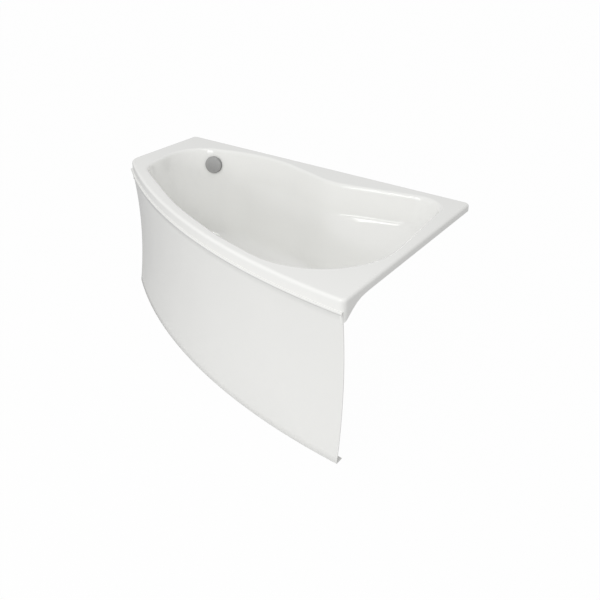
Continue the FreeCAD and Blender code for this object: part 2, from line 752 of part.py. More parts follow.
def waste_set():
    """The pop-up waste: flange, gasket, body, plug with its seal, and the rocker that lifts it."""
    flange = cylinder(value("waste_rim"), 0, value("waste_rim_height"))
    rim_edge = [e for e in flange.Edges if all(abs(v.Z - value("waste_rim_height")) < 0.01 for v in e.Vertexes)]
    flange = flange.makeFillet(1.2, rim_edge[:1]).fuse(cylinder(value("waste_tube"), -34, 0))
    flange = flange.cut(cylinder(value("waste_bore"), -35, 5))
    guide = cylinder(value("stem_radius") + 3, -32, -28)
    for k in range(3):
        spoke = Part.makeBox(value("waste_bore") + 1, 3, 4, Vector(0, -1.5, -32))
        spoke.rotate(Vector(0, 0, 0), Vector(0, 0, 1), 60 + 120 * k)
        guide = guide.fuse(spoke)
    guide = guide.cut(cylinder(value("stem_radius") + 0.1, -33, -27))
    feature("waste_flange", flange.fuse(guide).removeSplitter(), WASTE_FRAME)
    turned(
        "waste_gasket",
        [
            ("waste_tube", "-wall - gasket_height"),
            ("gasket_radius", "-wall - gasket_height"),
            ("gasket_radius", "-wall"),
            ("waste_tube", "-wall"),
        ],
        WASTE_FRAME,
    )
    turned(
        "plug",
        [
            ("0", "-44"),
            ("stem_radius", "-44"),
            ("stem_radius", "waste_rim_height + 0.6"),
            ("stem_radius + 6", "waste_rim_height + 0.6"),
            ("stem_radius + 6", "waste_rim_height + 2.1"),
            ("plug_radius", "waste_rim_height + 2.1"),
            ("plug_radius", "waste_rim_height + 3.6"),
            ("plug_radius - 6", "waste_rim_height + 5.1"),
            ("0", "waste_rim_height + 6.1"),
        ],
        WASTE_FRAME,
    )
    turned(
        "plug_seal",
        [
            ("stem_radius + 6", "waste_rim_height + 0.8"),
            ("plug_radius - 5", "waste_rim_height + 0.3"),
            ("plug_radius - 3", "waste_rim_height + 0.3"),
            ("plug_radius - 3", "waste_rim_height + 2.1"),
            ("stem_radius + 6", "waste_rim_height + 2.1"),
        ],
        WASTE_FRAME,
    )
    reach, shaft = value("finger_length"), value("shaft_radius")
    chamber, wall = value("waste_chamber"), value("body_wall")
    face = -WALL - value("gasket_height")
    outside = cylinder(value("gasket_radius"), face - value("body_flange"), face)
    outside = outside.fuse(cylinder(chamber + wall, -72, face))
    outside = outside.fuse(cylinder(value("spigot_radius"), -95, -70))
    axle = Vector(reach, 0, -SHAFT_DROP)
    across = Vector(0, 1, 0)
    outside = outside.fuse(lying(shaft + 4, axle - across * 28, axle + across * 30))
    outside = outside.fuse(lying(15, axle + across * 26, axle + across * 44))
    nipple = lying(value("cable_radius") + 2, Vector(0, 34, -SHAFT_DROP), Vector(reach, 34, -SHAFT_DROP))
    outside = outside.fuse(nipple)
    inlet = Vector(-31, 0, -INLET_DROP)
    outside = outside.fuse(lying(value("pipe_bore"), Vector(0, 0, -INLET_DROP), inlet - Vector(30, 0, 0)))
    inside = cylinder(value("waste_tube"), -34, face + 1)
    inside = inside.fuse(cylinder(chamber, -68, -34)).fuse(cylinder(value("outlet_radius"), -96, -60))
    inside = inside.fuse(lying(value("pipe_bore") - 2.5, Vector(0, 0, -INLET_DROP), inlet - Vector(31, 0, 0)))
    bore = lying(value("shaft_radius + running_fit"), axle - across * 24, axle + across * 38)
    feature("waste_body", outside.cut(inside).cut(bore).removeSplitter(), WASTE_FRAME)
    rocker = lying(shaft, axle - across * 23.5, axle + across * 37.5)
    finger = Part.makeBox(reach + 3, 8, 5, Vector(-3, -4, -44.5 - 5))
    hub = lying(shaft + 2.5, axle - across * 4, axle + across * 4)
    feature("lift_rocker", rocker.fuse(hub).fuse(finger).removeSplitter(), WASTE_FRAME)


def trap_set():
    """The trap under the waste: union nut, washer, trap body with its screw cap, outlet nut and outlet pipe."""
    spigot, bore, wall = value("spigot_radius"), value("outlet_radius"), value("outlet_wall")
    x, y = WASTE.x, WASTE.y
    base = Vector(x, y, 0)
    joint = FLOOR - 95
    washer = cylinder(spigot, joint - 2, joint, base).cut(cylinder(bore, joint - 3, joint + 1, base))
    feature("trap_washer", washer)
    union = nut(62, spigot, joint - 6, joint + 14, base)
    feature("trap_nut", union)
    top = joint - 15
    body = cylinder(spigot, top, joint - 2, base).fuse(cylinder(34, 18, top, base))
    outlet_z = 48
    outlet_end = Vector(x - 70, y, outlet_z)
    body = body.fuse(lying(bore + 2 * wall, Vector(x, y, outlet_z), Vector(x - 52, y, outlet_z)))
    body = body.fuse(lying(bore, Vector(x, y, outlet_z), outlet_end - Vector(1, 0, 0)))
    well = cylinder(31, 17, top - 3, base).cut(cylinder(bore, 30, top, base))
    drop = cylinder(bore - wall, 16, joint, base)
    exit_bore = lying(bore - wall, Vector(x - bore, y, outlet_z), outlet_end - Vector(2, 0, 0))
    body = body.cut(well).cut(drop).cut(exit_bore.cut(cylinder(bore, 20, 80, base)))
    feature("trap_body", body.removeSplitter())
    cap = cylinder(34, 8, 18, base).fuse(cylinder(31, 18, 22, base)).cut(cylinder(28, 12, 23, base))
    feature("trap_cap", cap.removeSplitter())
    pipe_start = outlet_end - Vector(1, 0, 0)
    pipe_end = Vector(LEFT + 120, y, outlet_z)
    length = (pipe_start - pipe_end).Length
    turned(
        "outlet_pipe",
        [
            ("outlet_radius - outlet_wall", "0"),
            ("outlet_radius", "0"),
            ("outlet_radius", "12"),
            ("outlet_radius + outlet_collar", "12"),
            ("outlet_radius + outlet_collar", f"{length} - outlet_free - outlet_relief"),
            ("outlet_radius - outlet_relief", f"{length} - outlet_free - outlet_relief"),
            ("outlet_radius - outlet_relief", f"{length} - outlet_free"),
            ("outlet_radius", f"{length} - outlet_free"),
            ("outlet_radius", f"{length}"),
            ("outlet_radius - outlet_wall", f"{length}"),
        ],
        FreeCAD.Placement(pipe_start, FreeCAD.Rotation(Vector(0, 0, 1), Vector(-1, 0, 0))),
    )
    collar = lying(bore + wall + 4, Vector(x - 54, y, outlet_z), Vector(x - 80, y, outlet_z))
    collar = collar.cut(lying(bore, Vector(x - 50, y, outlet_z), Vector(x - 90, y, outlet_z)))
    feature("outlet_nut", collar)


# ---------------------------------------------------------------- build and write

tub_shell()
front_panel()
batten_and_clips()
pattern = supports()
overflow_set()
waste_set()
trap_set()
doc.recompute()

helpers = {pattern.Name}
parts = []
for obj in doc.Objects:
    if "Invalid" in obj.State or "Error" in obj.State:
        raise RuntimeError(f"{obj.Name} failed: {obj.State}")
    is_part = obj.TypeId in ("Part::Feature", "PartDesign::Body")
    if is_part and obj.Name not in helpers:
        parts.append(obj)
for part in parts:
    if part.Shape.isNull() or not part.Shape.isValid() or not part.Shape.Solids:
        raise RuntimeError(f"{part.Label} has no valid solid")

os.makedirs("parts", exist_ok=True)
for part in parts:
    part.Shape.exportStep(f"parts/{part.Label}.step")
    print(f"{part.Label:20s} solids {len(part.Shape.Solids)} volume {part.Shape.Volume / 1000:9.1f} cm3")
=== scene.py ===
import json
import math

import bmesh
import bpy
from mathutils import Matrix, Vector


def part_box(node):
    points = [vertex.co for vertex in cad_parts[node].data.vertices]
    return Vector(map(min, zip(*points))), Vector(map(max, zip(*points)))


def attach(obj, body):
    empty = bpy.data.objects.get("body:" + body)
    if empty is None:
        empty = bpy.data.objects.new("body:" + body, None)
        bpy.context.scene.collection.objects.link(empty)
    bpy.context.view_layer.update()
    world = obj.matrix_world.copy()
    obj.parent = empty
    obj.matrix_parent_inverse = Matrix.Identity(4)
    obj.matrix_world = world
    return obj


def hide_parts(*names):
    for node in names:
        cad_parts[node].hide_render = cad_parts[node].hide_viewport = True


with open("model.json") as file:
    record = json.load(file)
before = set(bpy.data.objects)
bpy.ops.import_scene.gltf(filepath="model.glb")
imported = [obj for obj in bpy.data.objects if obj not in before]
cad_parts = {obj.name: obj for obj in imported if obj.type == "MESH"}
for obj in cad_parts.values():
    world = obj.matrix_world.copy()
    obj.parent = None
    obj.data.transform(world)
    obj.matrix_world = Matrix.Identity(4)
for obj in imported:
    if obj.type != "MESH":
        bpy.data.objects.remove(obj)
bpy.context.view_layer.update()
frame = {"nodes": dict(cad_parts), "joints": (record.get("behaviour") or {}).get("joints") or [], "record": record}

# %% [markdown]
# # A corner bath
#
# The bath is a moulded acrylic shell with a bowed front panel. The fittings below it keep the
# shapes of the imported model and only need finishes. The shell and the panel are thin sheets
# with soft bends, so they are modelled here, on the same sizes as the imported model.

MM = 0.001
shell_low, shell_high = (Vector(corner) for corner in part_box("tub_shell"))
LEFT, RIGHT, RIM, BACK = shell_low.x, shell_high.x, shell_high.z, shell_high.y
print("rim", round(RIGHT - LEFT, 4), "long,", round(RIM, 4), "high")

# %% [markdown]
# ## The plan of the rim
#
# The rim is straight along both ends and the long wall, and bows out along the front on one
# large radius. The bow could be drawn as a free curve, but two points and that radius fix its
# centre, and every strip that follows the front is then a circle about it.

# %% The bow along the front
DEPTH = 900 * MM
NARROW_END = 416 * MM
FRONT_RADIUS = 2390 * MM


def bow_centre():
    """The centre of the circle that the front edge follows."""
    corner = Vector((RIGHT, BACK - DEPTH))
    nose = Vector((LEFT, BACK - NARROW_END))
    half = (nose - corner) / 2
    rise = math.sqrt(FRONT_RADIUS**2 - half.length_squared)
    return corner + half + Vector((half.y, -half.x)).normalized() * rise


CENTRE = bow_centre()


def front_at(x, radius):
    """The point over x of a circle about the bow's centre."""
    return Vector((x, CENTRE.y - math.sqrt(radius**2 - (x - CENTRE.x) ** 2)))


print("bow centre", [round(v, 3) for v in CENTRE])

# %% [markdown]
# ## Outlines with rounded corners
#
# Each outline of the bath is a polygon whose corners are rounded. A round is an arc that
# touches both sides, so it starts at the radius divided by the tangent of half the corner's
# angle. Every side and every arc gets a fixed number of points, so outlines at different
# heights match point for point and can be joined by extrusion.

# %% Lines, crossings and arcs
ARC_STEPS = 10


def left_of(along):
    """The direction a quarter turn to the left."""
    return Vector((-along.y, along.x))


def crossing(line, other):
    """Where two lines cross, each given as a point and a direction."""
    (place, along), (far_place, far_along) = line, other
    gap = far_place - place
    turned = along.x * far_along.y - along.y * far_along.x
    return place + along * ((gap.x * far_along.y - gap.y * far_along.x) / turned)


def arc_points(corner, back, ahead, radius, steps):
    """Points of the arc that rounds a corner between the two directions that leave it."""
    half = back.angle(ahead) / 2
    middle = corner + (back + ahead).normalized() * (radius / math.sin(half))
    first = corner + back * (radius / math.tan(half)) - middle
    sweep = math.pi - 2 * half
    if back.x * ahead.y - back.y * ahead.x > 0:
        sweep = -sweep
    turns = [sweep * step / steps for step in range(steps + 1)]
    side = left_of(first)
    return [middle + first * math.cos(turn) + side * math.sin(turn) for turn in turns]


def corner_arcs(lines, radii):
    """The arc at the end of each line of a closed polygon."""
    arcs = []
    for line, ahead, radius in zip(lines, lines[1:] + lines[:1], radii):
        arcs.append(arc_points(crossing(line, ahead), -line[1], ahead[1], radius, ARC_STEPS))
    return arcs


quarter = arc_points(Vector((0, 0)), Vector((1, 0)), Vector((0, 1)), 1, ARC_STEPS)
print("a quarter round of one metre runs from", tuple(quarter[0]), "to", tuple(quarter[-1]))

# %% Points at even distances


def evenly(path, steps):
    """Points at even distances along a path of straight pieces, without its last point."""
    lengths = [(b - a).length for a, b in zip(path, path[1:])]
    total = sum(lengths)
    points, piece, passed = [], 0, 0.0
    for step in range(steps):
        target = total * step / steps
        while passed + lengths[piece] < target:
            passed += lengths[piece]
            piece += 1
        points.append(path[piece].lerp(path[piece + 1], (target - passed) / lengths[piece]))
    return points


bend = [Vector((0, 0)), Vector((1, 0)), Vector((1, 1))]
print("a bend of two metres in four steps", [tuple(point) for point in evenly(bend, 4)])

# %% [markdown]
# ## The bowl's sections
#
# The bowl narrows towards its floor. Its side walls lean in by nine degrees, and the head end
# leans back far more, as a backrest. The armrests are soft creases on both sides of the wide
# end: below them the side walls stand further in, and a slanting wall at each waist leads
# back out. Scaling one outline would narrow all walls alike, so each wall is moved in by its
# own amount at each height instead.

# %% The bowl's corners at the rim, and their rounds
BOWL = {
    "front_waist": (Vector((110 * MM, BACK - 776 * MM)), 150 * MM),
    "head_front": (Vector((RIGHT - 6 * MM, BACK - 910 * MM)), 304 * MM),
    "head_back": (Vector((RIGHT - 69 * MM, BACK - 30 * MM)), 105 * MM),
    "back_waist": (Vector((160 * MM, BACK - 136 * MM)), 236 * MM),
    "back_bow": (Vector((-233 * MM, BACK - 21 * MM)), 600 * MM),
    "foot_back": (Vector((LEFT + 70 * MM, BACK - 136 * MM)), 169 * MM),
    "foot_front": (Vector((LEFT + 118 * MM, BACK - 445 * MM)), 128 * MM),
    "front_bow": (Vector((-188 * MM, BACK - 669 * MM)), 1500 * MM),
}
CORNERS = list(BOWL)
CORNERS_AHEAD = CORNERS[1:] + CORNERS[:1]


def wall_line(name, inset):
    """The line of the wall that starts at a corner, moved into the bowl."""
    start, end = BOWL[name][0], BOWL[CORNERS_AHEAD[CORNERS.index(name)]][0]
    along = (end - start).normalized()
    return start + left_of(along) * inset, along


print("corners of the bowl", len(BOWL))

# %% How far the walls come in with depth
WALL_LEAN = 9
WALL_DRAFT = math.tan(math.radians(WALL_LEAN))
HEAD_DRAFT = math.tan(math.radians(20))
RECLINE = math.tan(math.radians(41))
RECLINE_EASE = 25 * MM
ARMREST_TOP = RIM - 95 * MM
FLOOR = RIM - 420 * MM


def wall_inset(z):
    """How far a side wall has come in at a height."""
    return (RIM - z) * WALL_DRAFT


def head_inset(z):
    """How far the head end has come in: steep at the top, easing into the recline."""
    below = ARMREST_TOP - z
    eased = (below + math.sqrt(below**2 + RECLINE_EASE**2)) / 2
    return min(RIM - z, RIM - ARMREST_TOP) * HEAD_DRAFT + eased * RECLINE


print("walls in at the floor", round(wall_inset(FLOOR), 4), "head", round(head_inset(FLOOR), 4))

# %% An outline with a fixed number of points
ARC_POINTS = {
    "head_front": 18,
    "head_back": 10,
    "back_bow": 8,
    "foot_back": 12,
    "foot_front": 8,
    "front_bow": 8,
}
SIDE_POINTS = dict(zip(ARC_POINTS, (10, 30, 3, 4, 9, 28)))


def stitched(arcs, waists):
    """One outline: each arc, then the side that follows it, which may run through a waist."""
    names, points = list(ARC_POINTS), []
    for name, ahead in zip(names, names[1:] + names[:1]):
        side = [arcs[name][-1], *waists.get(name, []), arcs[ahead][0]]
        points += evenly(arcs[name], ARC_POINTS[name]) + evenly(side, SIDE_POINTS[name])
    return points


def upper_outline(z):
    """The outline above the armrests."""
    insets = [head_inset(z) if name == "head_front" else wall_inset(z) for name in CORNERS]
    lines = [wall_line(name, inset) for name, inset in zip(CORNERS, insets)]
    radii = [BOWL[name][1] for name in CORNERS_AHEAD]
    arcs = dict(zip(CORNERS_AHEAD, corner_arcs(lines, radii)))
    return stitched(arcs, {"head_back": arcs["back_waist"], "front_bow": arcs["front_waist"]})


print("points round the bowl", len(upper_outline(RIM)))

# %% [markdown]
# Below the armrests each waist is a short slanting wall between two rounds. A moulded sheet
# has no such sharp turn, so the points there are drawn towards their neighbours many times
# over, which leaves the rest of the outline as it is.

# %% The outline below the armrests
ARMREST_WIDTH = 62 * MM
BACK_STEP = (Vector((165 * MM, BACK - 139 * MM)), Vector((-70, 62)).normalized())
FRONT_STEP = (Vector((118 * MM, BACK - 779 * MM)), Vector((70, 62)).normalized())
STEP_IN_ROUND, STEP_OUT_ROUND = 60 * MM, 65 * MM
SEAT_FRONT_ROUND, SEAT_FRONT_TIGHTENING = 262 * MM, 142 * MM
SEAT_BACK_ROUND = 70 * MM
BACK_WAIST, FRONT_WAIST, WAIST_TIMES = (32, 74), (115, 147), 70


def softened(points, times, stretch=None):
    """Even out a ring, or one stretch of it, by drawing each point towards its neighbours."""
    count = len(points)
    for _ in range(times):
        eased = list(points)
        for i in range(*stretch) if stretch else range(count):
            eased[i] = (points[i - 1] + 2 * points[i] + points[(i + 1) % count]) / 4
        points = eased
    return points


def lower_outline(z):
    """The outline below the armrests, with a soft slanting wall at each waist."""
    inset = wall_inset(z)
    depth = min(max((ARMREST_TOP - z) / (ARMREST_TOP - FLOOR), 0), 1)
    back_step, front_step = (
        (place + left_of(along) * inset, along) for place, along in (BACK_STEP, FRONT_STEP)
    )
    seat = inset + ARMREST_WIDTH
    lines = [wall_line("front_waist", seat), wall_line("head_front", head_inset(z))]
    lines += [wall_line("head_back", seat), back_step]
    lines += [wall_line(name, inset) for name in CORNERS[3:]] + [front_step]
    radii = [SEAT_FRONT_ROUND - SEAT_FRONT_TIGHTENING * depth, SEAT_BACK_ROUND]
    radii += [STEP_IN_ROUND, STEP_OUT_ROUND]
    radii += [BOWL[name][1] for name in CORNERS[4:]] + [STEP_OUT_ROUND, STEP_IN_ROUND]
    head_front, head_back, *back, front_out, front_in = corner_arcs(lines, radii)
    arcs = {"head_front": head_front, "head_back": head_back, **dict(zip(CORNERS[4:], back[2:]))}
    points = stitched(arcs, {"head_back": back[0] + back[1], "front_bow": front_out + front_in})
    points = softened(points, WAIST_TIMES, BACK_WAIST)
    return softened(points, WAIST_TIMES, FRONT_WAIST)


print("points round the floor", len(lower_outline(FLOOR)))

# %% [markdown]
# A ring of the bowl is one such outline at its height. Across an armrest it lies part of the
# way between the upper and the lower outline, and round the lip it is spread outwards. The
# turn into the floor is an arc at every point, whose angle depends on how the wall leans
# there, and its rings are evened out more and more towards the floor so that none folds over.

# %% Rings of the walls


def inward(points):
    """The direction into the bowl at every point of an outline, mostly from the nearer one."""
    directions = []
    for behind, point, ahead in zip(points[-1:] + points, points, points[1:] + points[:1]):
        forth, back = ahead - point, point - behind
        along = forth / forth.length_squared + back / back.length_squared
        directions.append(left_of(along).normalized())
    return directions


def bowl_ring(z, share=0.0, spread=0.0):
    """A ring that lies a share of the way to the lower outline, and is spread outwards."""
    points = upper_outline(z) if share < 1 else lower_outline(z)
    if 0 < share < 1:
        points = [above.lerp(below, share) for above, below in zip(points, lower_outline(z))]
    return [Vector((*(point - way * spread), z)) for point, way in zip(points, inward(points))]


print("first point of the bowl at the rim", [round(v, 4) for v in bowl_ring(RIM)[0]])

# %% Rings of the round into the floor
FLOOR_ROUND = 60 * MM
FLOOR_SETTLING = 3
LEAN_GAUGE = 30 * MM


def floor_rings(steps):
    """The rings of the round between the leaning walls and the floor."""
    foot, gauge = bowl_ring(FLOOR, 1), bowl_ring(FLOOR + LEAN_GAUGE, 1)
    leans = [(high.xy - low.xy).length / LEAN_GAUGE for high, low in zip(gauge, foot)]
    ways = inward([point.xy for point in foot])
    rings = []
    for step in range(steps + 1):
        ring = []
        for corner, lean, way in zip(foot, leans, ways):
            open_angle = math.pi / 2 - math.atan(lean)
            turn = open_angle * (1 - step / steps)
            away = FLOOR_ROUND * (math.tan(open_angle / 2) - math.sin(turn))
            up = FLOOR_ROUND * (1 - math.cos(turn))
            ring.append(Vector((*(corner.xy + way * away), FLOOR + up)))
        rings.append(softened(ring, FLOOR_SETTLING * step))
    return rings


print("floor round", FLOOR_ROUND, "at", round(FLOOR, 4), "above the ground")

# %% [markdown]
# ## The shell
#
# The shell is one sheet of even thickness, so only its upper face is modelled and a Solidify
# modifier gives it the wall. The bowl starts as a circle whose points move onto the outline.
# Extruding its edges ring by ring carries the sheet over the lip, down the wall, across the
# armrest and round into the floor.

# %% Extruding a loop ring by ring


def loop_from(bm, points):
    """A closed loop of edges through the given points, and its vertices in order."""
    made = bmesh.ops.create_circle(bm, segments=len(points), radius=1)["verts"]
    for vert, point in zip(made, points):
        vert.co = point
    return made


def loop_edges(ring):
    """The edges of a loop of vertices, each once and in order."""
    inside = set(ring)
    linked = [edge for vert in ring for edge in vert.link_edges if edge.other_vert(vert) in inside]
    return list(dict.fromkeys(linked))


def next_ring(bm, ring, points):
    """Extrude a loop and move the new loop onto the given points."""
    made = bmesh.ops.extrude_edge_only(bm, edges=loop_edges(ring))["geom"]
    fresh = {item for item in made if isinstance(item, bmesh.types.BMVert)}
    moved = []
    for vert, point in zip(ring, points):
        twin = next(e.other_vert(vert) for e in vert.link_edges if e.other_vert(vert) in fresh)
        twin.co = point
        moved.append(twin)
    return moved


def between(start, end, share):
    """A ring that lies a share of the way from one ring to another."""
    return [near.lerp(far, share) for near, far in zip(start, end)]


# %% The rim's rounded corners
CORNER_ROUND = 20 * MM
NOSE_ROUND = 75 * MM
ROUND_STEPS = 8


def along_bow(x, radius):
    """The direction of the bow over x."""
    return left_of(front_at(x, radius) - CENTRE).normalized()


def rim_rounds(inset):
    """The rounds of the rim's corners, taken in by an inset, from the front right to the nose."""
    radius = FRONT_RADIUS - inset
    left, right, back = LEFT + inset, RIGHT - inset, BACK - inset
    up, across = Vector((0, 1)), Vector((1, 0))
    small, large = CORNER_ROUND - inset, NOSE_ROUND - inset
    corners = [
        (front_at(right, radius), -along_bow(right, radius), up, small),
        (Vector((right, back)), -up, -across, small),
        (Vector((left, back)), across, -up, small),
        (front_at(left, radius), up, along_bow(left + NOSE_ROUND, radius), large),
    ]
    return [arc_points(*corner, ROUND_STEPS) for corner in corners]


print("rounds of the rim", [round(arc[0].x, 3) for arc in rim_rounds(0)])

# %% [markdown]
# The deck joins the bowl's lip to the rim. For clean faces both must have the same number of
# points, so the points of the bowl nearest the rim's four corners are found first, and each
# side of the rim gets as many points as lie between two of them.

# %% The rim, matched to the bowl's points
LIP_ROLL = 11 * MM
DECK_STRIP = 4 * MM
LIP = [point.xy for point in bowl_ring(RIM, spread=LIP_ROLL + DECK_STRIP)]


def rim_anchors():
    """The bowl's points nearest to the rim's four corners, by number."""
    middles = [arc[ROUND_STEPS // 2] for arc in rim_rounds(0)]
    return [min(range(len(LIP)), key=lambda i: (LIP[i] - middle).length) for middle in middles]


ANCHORS = rim_anchors()


def rim_ring(inset, z):
    """The rim's outline with one point for each of the bowl's points."""
    rounds, half, total = rim_rounds(inset), ROUND_STEPS // 2, len(LIP)
    points = []
    for i, arc in enumerate(rounds):
        ahead = (i + 1) % len(rounds)
        free = (ANCHORS[ahead] - ANCHORS[i]) % total - ROUND_STEPS - 1
        near = [LIP[(ANCHORS[i] + half + step) % total] for step in range(free + 2)]
        way = near[-1] - near[0]
        shares = [(point - near[0]).dot(way) / way.length_squared for point in near[1:-1]]
        side = [arc[-1].lerp(rounds[ahead][0], share) for share in shares]
        if ahead == 0:  # the last side is the bow
            side = [front_at(point.x, FRONT_RADIUS - inset) for point in side]
        points += arc[half:] + side + rounds[ahead][:half]
    return [Vector((*points[(i - ANCHORS[0]) % total], z)) for i in range(total)]


print("rim corners at points", ANCHORS)

# %% [markdown]
# The skirt turned down round the deck is not equally deep everywhere. Along the bow it hangs
# over the panel's bead, at the two ends of the bow it hangs deepest as a small ear, and along
# the walls it is shallow. One ring can hold all three, because only its heights differ.

# %% How far the skirt hangs
SKIRT_DROP = 40 * MM
WALL_SKIRT = 28 * MM
EAR_DROP = 84 * MM
EAR_LENGTH = 78 * MM
BOW_TOUCH = 0.5 * MM
NOSE_CLEAR = 30 * MM


def skirt_drop(point):
    """How far the skirt hangs below the rim at a point of the rim."""
    off_bow = abs((point.xy - CENTRE).length - FRONT_RADIUS)
    if off_bow < BOW_TOUCH and point.x > LEFT + NOSE_CLEAR:
        return SKIRT_DROP
    share = 1 - (point.y - front_at(point.x, FRONT_RADIUS).y) / EAR_LENGTH
    return WALL_SKIRT + (EAR_DROP - WALL_SKIRT) * max(0, share)


hem = [Vector((*point.xy, RIM - skirt_drop(point))) for point in rim_ring(0, RIM)]
print("lowest point of the skirt", round(min(point.z for point in hem), 4))

# %% Skirt and the rim's roll
RIM_ROLL = 10 * MM
ROLL_CLEAR = 1 * MM
ROLL_STEPS = 5
SKIRT_SHARES = (0.05, 0.45, 0.95)
shell_bm = bmesh.new()
skirt_top = rim_ring(0, RIM - RIM_ROLL - ROLL_CLEAR)
ring = loop_from(shell_bm, hem)
for share in SKIRT_SHARES:
    ring = next_ring(shell_bm, ring, between(hem, skirt_top, share))
for step in range(ROLL_STEPS + 1):
    turn = math.radians(90) * step / ROLL_STEPS
    inset, down = RIM_ROLL * (1 - math.cos(turn)), RIM_ROLL * (1 - math.sin(turn))
    ring = next_ring(shell_bm, ring, rim_ring(inset, RIM - down))
print("faces of the skirt and the roll", len(shell_bm.faces))

# %% Deck and the lip's roll
DECK_SHARES = (0, 0.5, 1)
deck_edge = rim_ring(RIM_ROLL + DECK_STRIP, RIM)
deck_lip = bowl_ring(RIM, spread=LIP_ROLL + DECK_STRIP)
for share in DECK_SHARES:
    ring = next_ring(shell_bm, ring, between(deck_edge, deck_lip, share))
for step in range(ROLL_STEPS + 1):
    turn = math.radians(90 - WALL_LEAN) * step / ROLL_STEPS
    spread, down = LIP_ROLL * (1 - math.sin(turn)), LIP_ROLL * (1 - math.cos(turn))
    ring = next_ring(shell_bm, ring, bowl_ring(RIM - down, spread=spread))
print("faces with the deck and the lip", len(shell_bm.faces))

# %% [markdown]
# Each pair below is a depth under the rim in millimetres, and the share of the way to the
# lower outline that the wall has gone there. Shares that start slowly and then grow evenly
# give the armrest its soft crease, with a leaning face under it.

# %% Walls and armrests
UPPER_WALL = [(26, 0), (50, 0), (80, 0), (98, 0)]
ARMREST_CREASE = [(104, 0), (114, 0.004), (121, 0.025), (127, 0.06), (133, 0.115), (142, 0.215)]
ARMREST_FACE = [(155, 0.37), (168, 0.52), (181, 0.67), (194, 0.80)]
ARMREST_FOOT = [(206, 0.89), (220, 0.96), (236, 0.99)]
LOWER_WALL = [(250, 1), (270, 1), (295, 1), (320, 1), (342, 1)]
for drop, share in UPPER_WALL + ARMREST_CREASE + ARMREST_FACE + ARMREST_FOOT + LOWER_WALL:
    ring = next_ring(shell_bm, ring, bowl_ring(RIM - drop * MM, share))
print("faces with the walls", len(shell_bm.faces))

# %% Floor
FLOOR_STEPS = 7
FLOOR_SHARES = (0.08, 0.3, 0.6)
for points in floor_rings(FLOOR_STEPS):
    ring = next_ring(shell_bm, ring, points)
middle = sum((vert.co for vert in ring), Vector()) / len(ring)
for share in FLOOR_SHARES:
    ring = next_ring(shell_bm, ring, [vert.co.lerp(middle, share) for vert in ring])
bmesh.ops.contextual_create(shell_bm, geom=loop_edges(ring))
bmesh.ops.recalc_face_normals(shell_bm, faces=shell_bm.faces)
up_facing = sum(face.normal.z * face.calc_area() for face in shell_bm.faces)
if up_facing < 0:
    bmesh.ops.reverse_faces(shell_bm, faces=shell_bm.faces)
open_edges = sum(edge.is_boundary for edge in shell_bm.edges)
print("shell sheet faces", len(shell_bm.faces), "open edges", open_edges)

# %% [markdown]
# The sheet becomes an object before its modifiers can work on it. Subdivision rounds it off
# between the rings, and Solidify then adds the wall below the upper face, so the face that is
# seen keeps its place.

# %% A mesh object from a bmesh


def object_from(bm, name):
    """Put a bmesh in a new object of the scene, with smooth faces."""
    mesh = bpy.data.meshes.new(name)
    bm.to_mesh(mesh)
    bm.free()
    for polygon in mesh.polygons:
        polygon.use_smooth = True
    piece = bpy.data.objects.new(name, mesh)
    bpy.context.scene.collection.objects.link(piece)
    return piece


def modifier(piece, kind, **settings):
    """Add a modifier with its settings."""
    made = piece.modifiers.new(kind.title(), kind)
    for name, value in settings.items():
        setattr(made, name, value)


def baked(piece):
    """Apply an object's modifiers to its mesh."""
    bpy.context.view_layer.update()
    seen = piece.evaluated_get(bpy.context.evaluated_depsgraph_get())
    mesh = bpy.data.meshes.new_from_object(seen)
    piece.modifiers.clear()
    piece.data = mesh


# %% Smoothing and wall
WALL = 7 * MM
shell = object_from(shell_bm, "bath_shell")
modifier(shell, "SUBSURF", levels=1, render_levels=1)
modifier(shell, "SOLIDIFY", thickness=WALL, offset=-1, material_offset=1, material_offset_rim=0)
baked(shell)
print("faces of the walled shell", len(shell.data.polygons))

# %% [markdown]
# ## Holes for the overflow and the waste
#
# Both holes are cut through the finished wall with Boolean modifiers, because a hole drawn
# into the rings would disturb the smooth wall round it. The overflow also sits in a shallow
# flat, so that its ring seals on the curve.

# %% Where the fittings sit
OVERFLOW = next(joint for joint in frame["joints"] if joint["name"] == "knob_turn")
SEAT = Vector(OVERFLOW["pos_m"])
SEAT_AXIS = Vector(OVERFLOW["axis"]).normalized()
waste_low, waste_high = (Vector(corner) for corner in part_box("waste_flange"))
WASTE = (waste_low + waste_high) / 2
print("overflow seat", [round(v, 4) for v in SEAT], "waste", [round(v, 4) for v in WASTE])

# %% Cylinders that cut
CUTTER_SEGMENTS = 96


def cutter(name, place, axis, radius, low, high):
    """A cylinder along an axis, between two distances from a place."""
    bm = bmesh.new()
    bmesh.ops.create_cone(
        bm, cap_ends=True, segments=CUTTER_SEGMENTS, radius1=radius, radius2=radius,
        depth=high - low,
    )
    turn = axis.to_track_quat("Z", "Y")
    bmesh.ops.rotate(bm, cent=(0, 0, 0), matrix=turn.to_matrix(), verts=bm.verts)
    bmesh.ops.translate(bm, vec=place + axis * (low + high) / 2, verts=bm.verts)
    return object_from(bm, name)


def cut(piece, tool):
    """Cut a tool out of a piece and remove it."""
    modifier(piece, "BOOLEAN", operation="DIFFERENCE", solver="EXACT", object=tool)
    baked(piece)
    bpy.data.objects.remove(tool)


